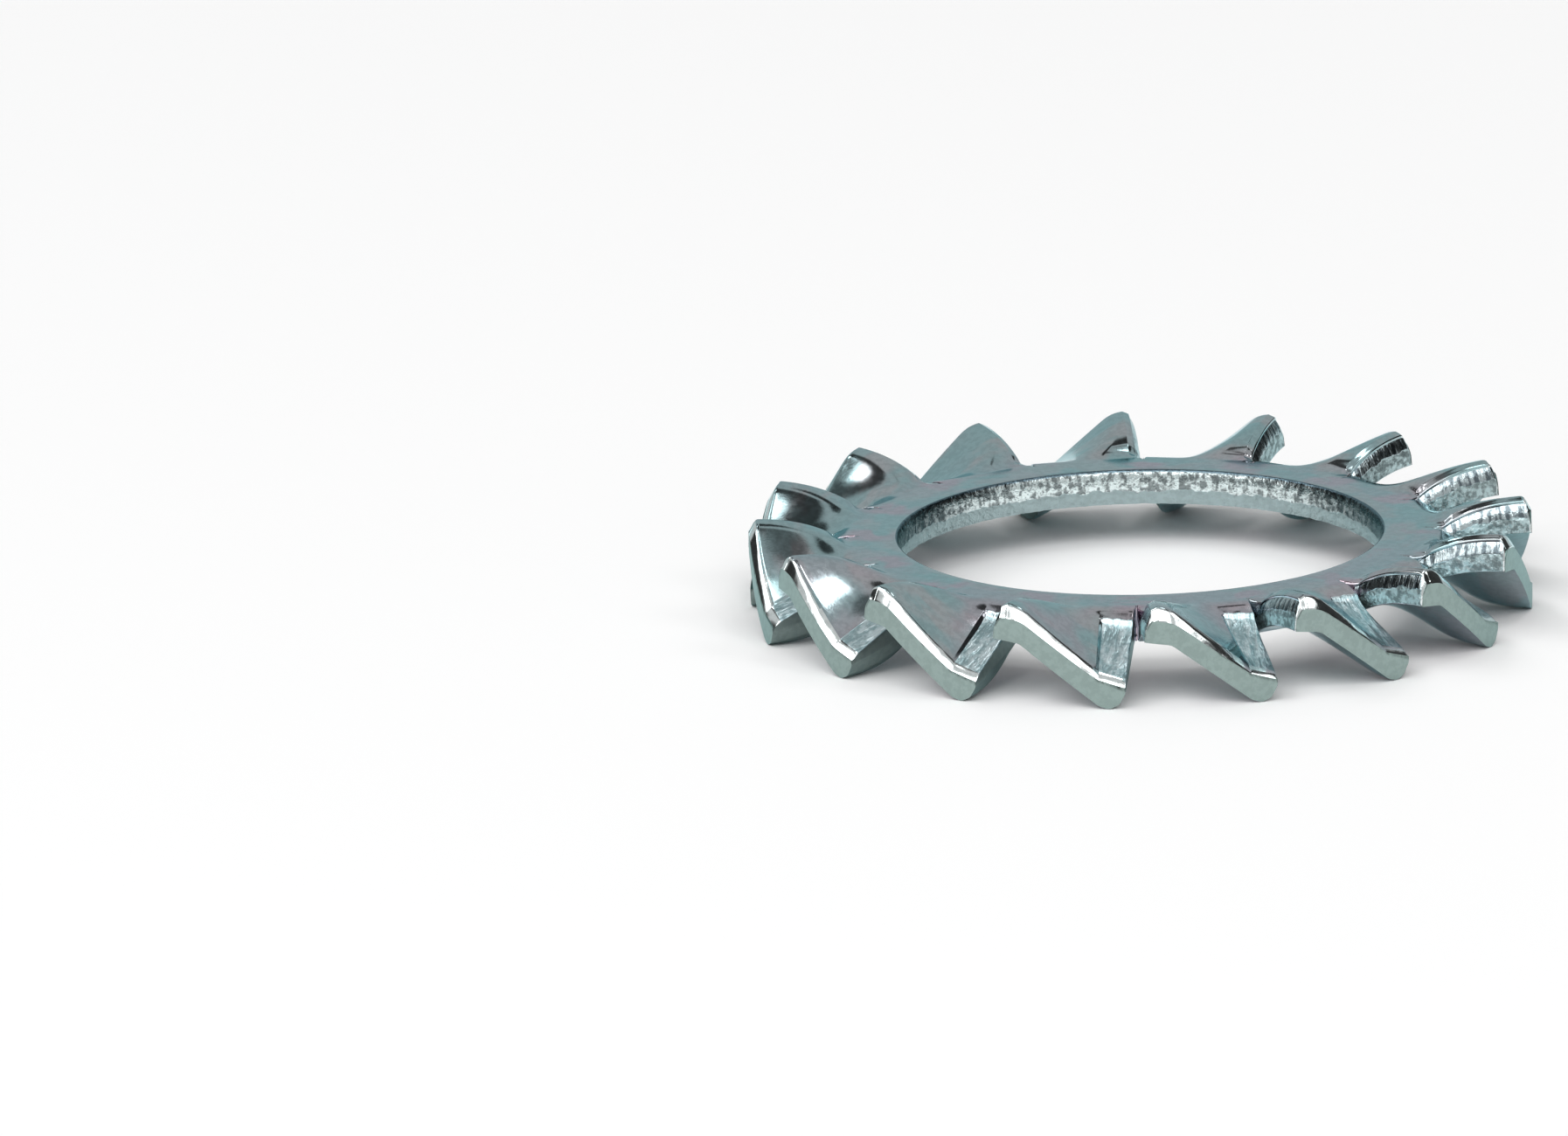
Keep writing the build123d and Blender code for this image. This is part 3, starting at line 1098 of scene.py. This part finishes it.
def makeRoom():
    world = bpy.data.worlds.new("room")
    bpy.context.scene.world = world
    world.use_nodes = True
    nodes, links = world.node_tree.nodes, world.node_tree.links
    nodes.clear()
    direction = nodes.new("ShaderNodeTexCoord")
    level = nodes.new("ShaderNodeValue")
    level.outputs[0].default_value = studio["room"]
    light = level.outputs[0]
    for part in darkParts:
        facing = nodes.new("ShaderNodeVectorMath")
        facing.operation = "DOT_PRODUCT"
        facing.inputs[1].default_value = towards(part["azimuth"], part["elevation"])
        links.new(direction.outputs["Generated"], facing.inputs[0])
        inside = nodes.new("ShaderNodeMapRange")
        inside.interpolation_type = "SMOOTHSTEP"
        inside.inputs["From Min"].default_value = cos(radians(part["reach"] + part["soft"]))
        inside.inputs["From Max"].default_value = cos(radians(part["reach"] - part["soft"]))
        links.new(facing.outputs["Value"], inside.inputs["Value"])
        mix = nodes.new("ShaderNodeMix")
        mix.data_type = "FLOAT"
        mix.label = part["name"]
        links.new(inside.outputs[0], mix.inputs[0])
        links.new(light, mix.inputs[2])
        mix.inputs[3].default_value = part["level"]
        light = mix.outputs[0]
    background = nodes.new("ShaderNodeBackground")
    links.new(light, background.inputs["Strength"])
    output = nodes.new("ShaderNodeOutputWorld")
    links.new(background.outputs[0], output.inputs[0])


# a long lens from low in front
view = dict(
    azimuth=-100.24,        # where the camera stands round the washer, in degrees
    elevation=14.88,
    lens=800.0,
    pixelsPerMm=43.7,
    frameWidth=1794,
    frameHeight=1300,
    centreX=1304.75,        # where the middle of the bore stands in the frame
    centreY=627.7,
    roll=1.12,
    clipNear=0.2,           # shares of the camera's distance
    clipFar=4,
)
sight = Vector((
    cos(radians(view["azimuth"])) * cos(radians(view["elevation"])),
    sin(radians(view["azimuth"])) * cos(radians(view["elevation"])),
    sin(radians(view["elevation"])),
))
levelRight = Vector((0, 0, 1)).cross(sight).normalized()
levelUp = sight.cross(levelRight)
roll = radians(view["roll"])
frameRight = levelRight * cos(roll) - levelUp * sin(roll)
frameUp = levelRight * sin(roll) + levelUp * cos(roll)


def makeCamera():
    data = bpy.data.cameras.new("camera")
    camera = bpy.data.objects.new("camera", data)
    bpy.context.scene.collection.objects.link(camera)
    data.lens = view["lens"]
    distance = view["lens"] / data.sensor_width * view["frameWidth"] / view["pixelsPerMm"] * mm
    offsetX = (view["centreX"] - view["frameWidth"] / 2) / view["pixelsPerMm"] * mm
    offsetY = (view["frameHeight"] / 2 - view["centreY"]) / view["pixelsPerMm"] * mm
    camera.location = sight * distance
    target = -frameRight * offsetX - frameUp * offsetY
    back = (camera.location - target).normalized()
    right = frameUp.cross(back).normalized()
    up = back.cross(right)
    camera.rotation_euler = Matrix((right, up, back)).transposed().to_euler()
    data.clip_start = distance * view["clipNear"]
    data.clip_end = distance * view["clipFar"]
    bpy.context.scene.camera = camera


# soft boxes, with their half angles as the washer sees them and how bright each face is
softBoxes = (
    dict(name="frontTop", azimuth=-90, elevation=49, across=30, high=15, bright=2.35),
    dict(name="frontRight", azimuth=-20, elevation=42, across=12, high=8, bright=2.0),
    dict(name="frontLeft", azimuth=-138, elevation=24, across=10, high=9, bright=1.6),
    dict(name="leftSide", azimuth=-172, elevation=48, across=24, high=10, bright=2.3),
    dict(name="leftSpot", azimuth=138, elevation=50, across=2.6, high=2.6, bright=6.0),
    dict(name="topSpot", azimuth=175, elevation=70, across=4, high=3, bright=4.0),
    dict(name="rightSpot", azimuth=22, elevation=70, across=6, high=3.5, bright=5.0),
    dict(name="smallSpot", azimuth=-150, elevation=78, across=2.5, high=2.5, bright=4.0),
)


def makeSoftBox(box):
    distance = studio["lampDistance"]
    data = bpy.data.lights.new(box["name"], "AREA")
    data.shape = "RECTANGLE"
    data.size = 2 * distance * tan(radians(box["across"]))
    data.size_y = 2 * distance * tan(radians(box["high"]))
    data.energy = box["bright"] * pi * data.size * data.size_y
    lamp = bpy.data.objects.new(box["name"], data)
    lamp.location = towards(box["azimuth"], box["elevation"]) * distance
    lamp.rotation_euler = lamp.location.to_track_quat("Z", "Y").to_euler()
    bpy.context.scene.collection.objects.link(lamp)


makeFloor()
makeRoom()
makeCamera()
for box in softBoxes:
    makeSoftBox(box)
bpy.context.scene.view_settings.view_transform = "Standard"
print("studio ready")
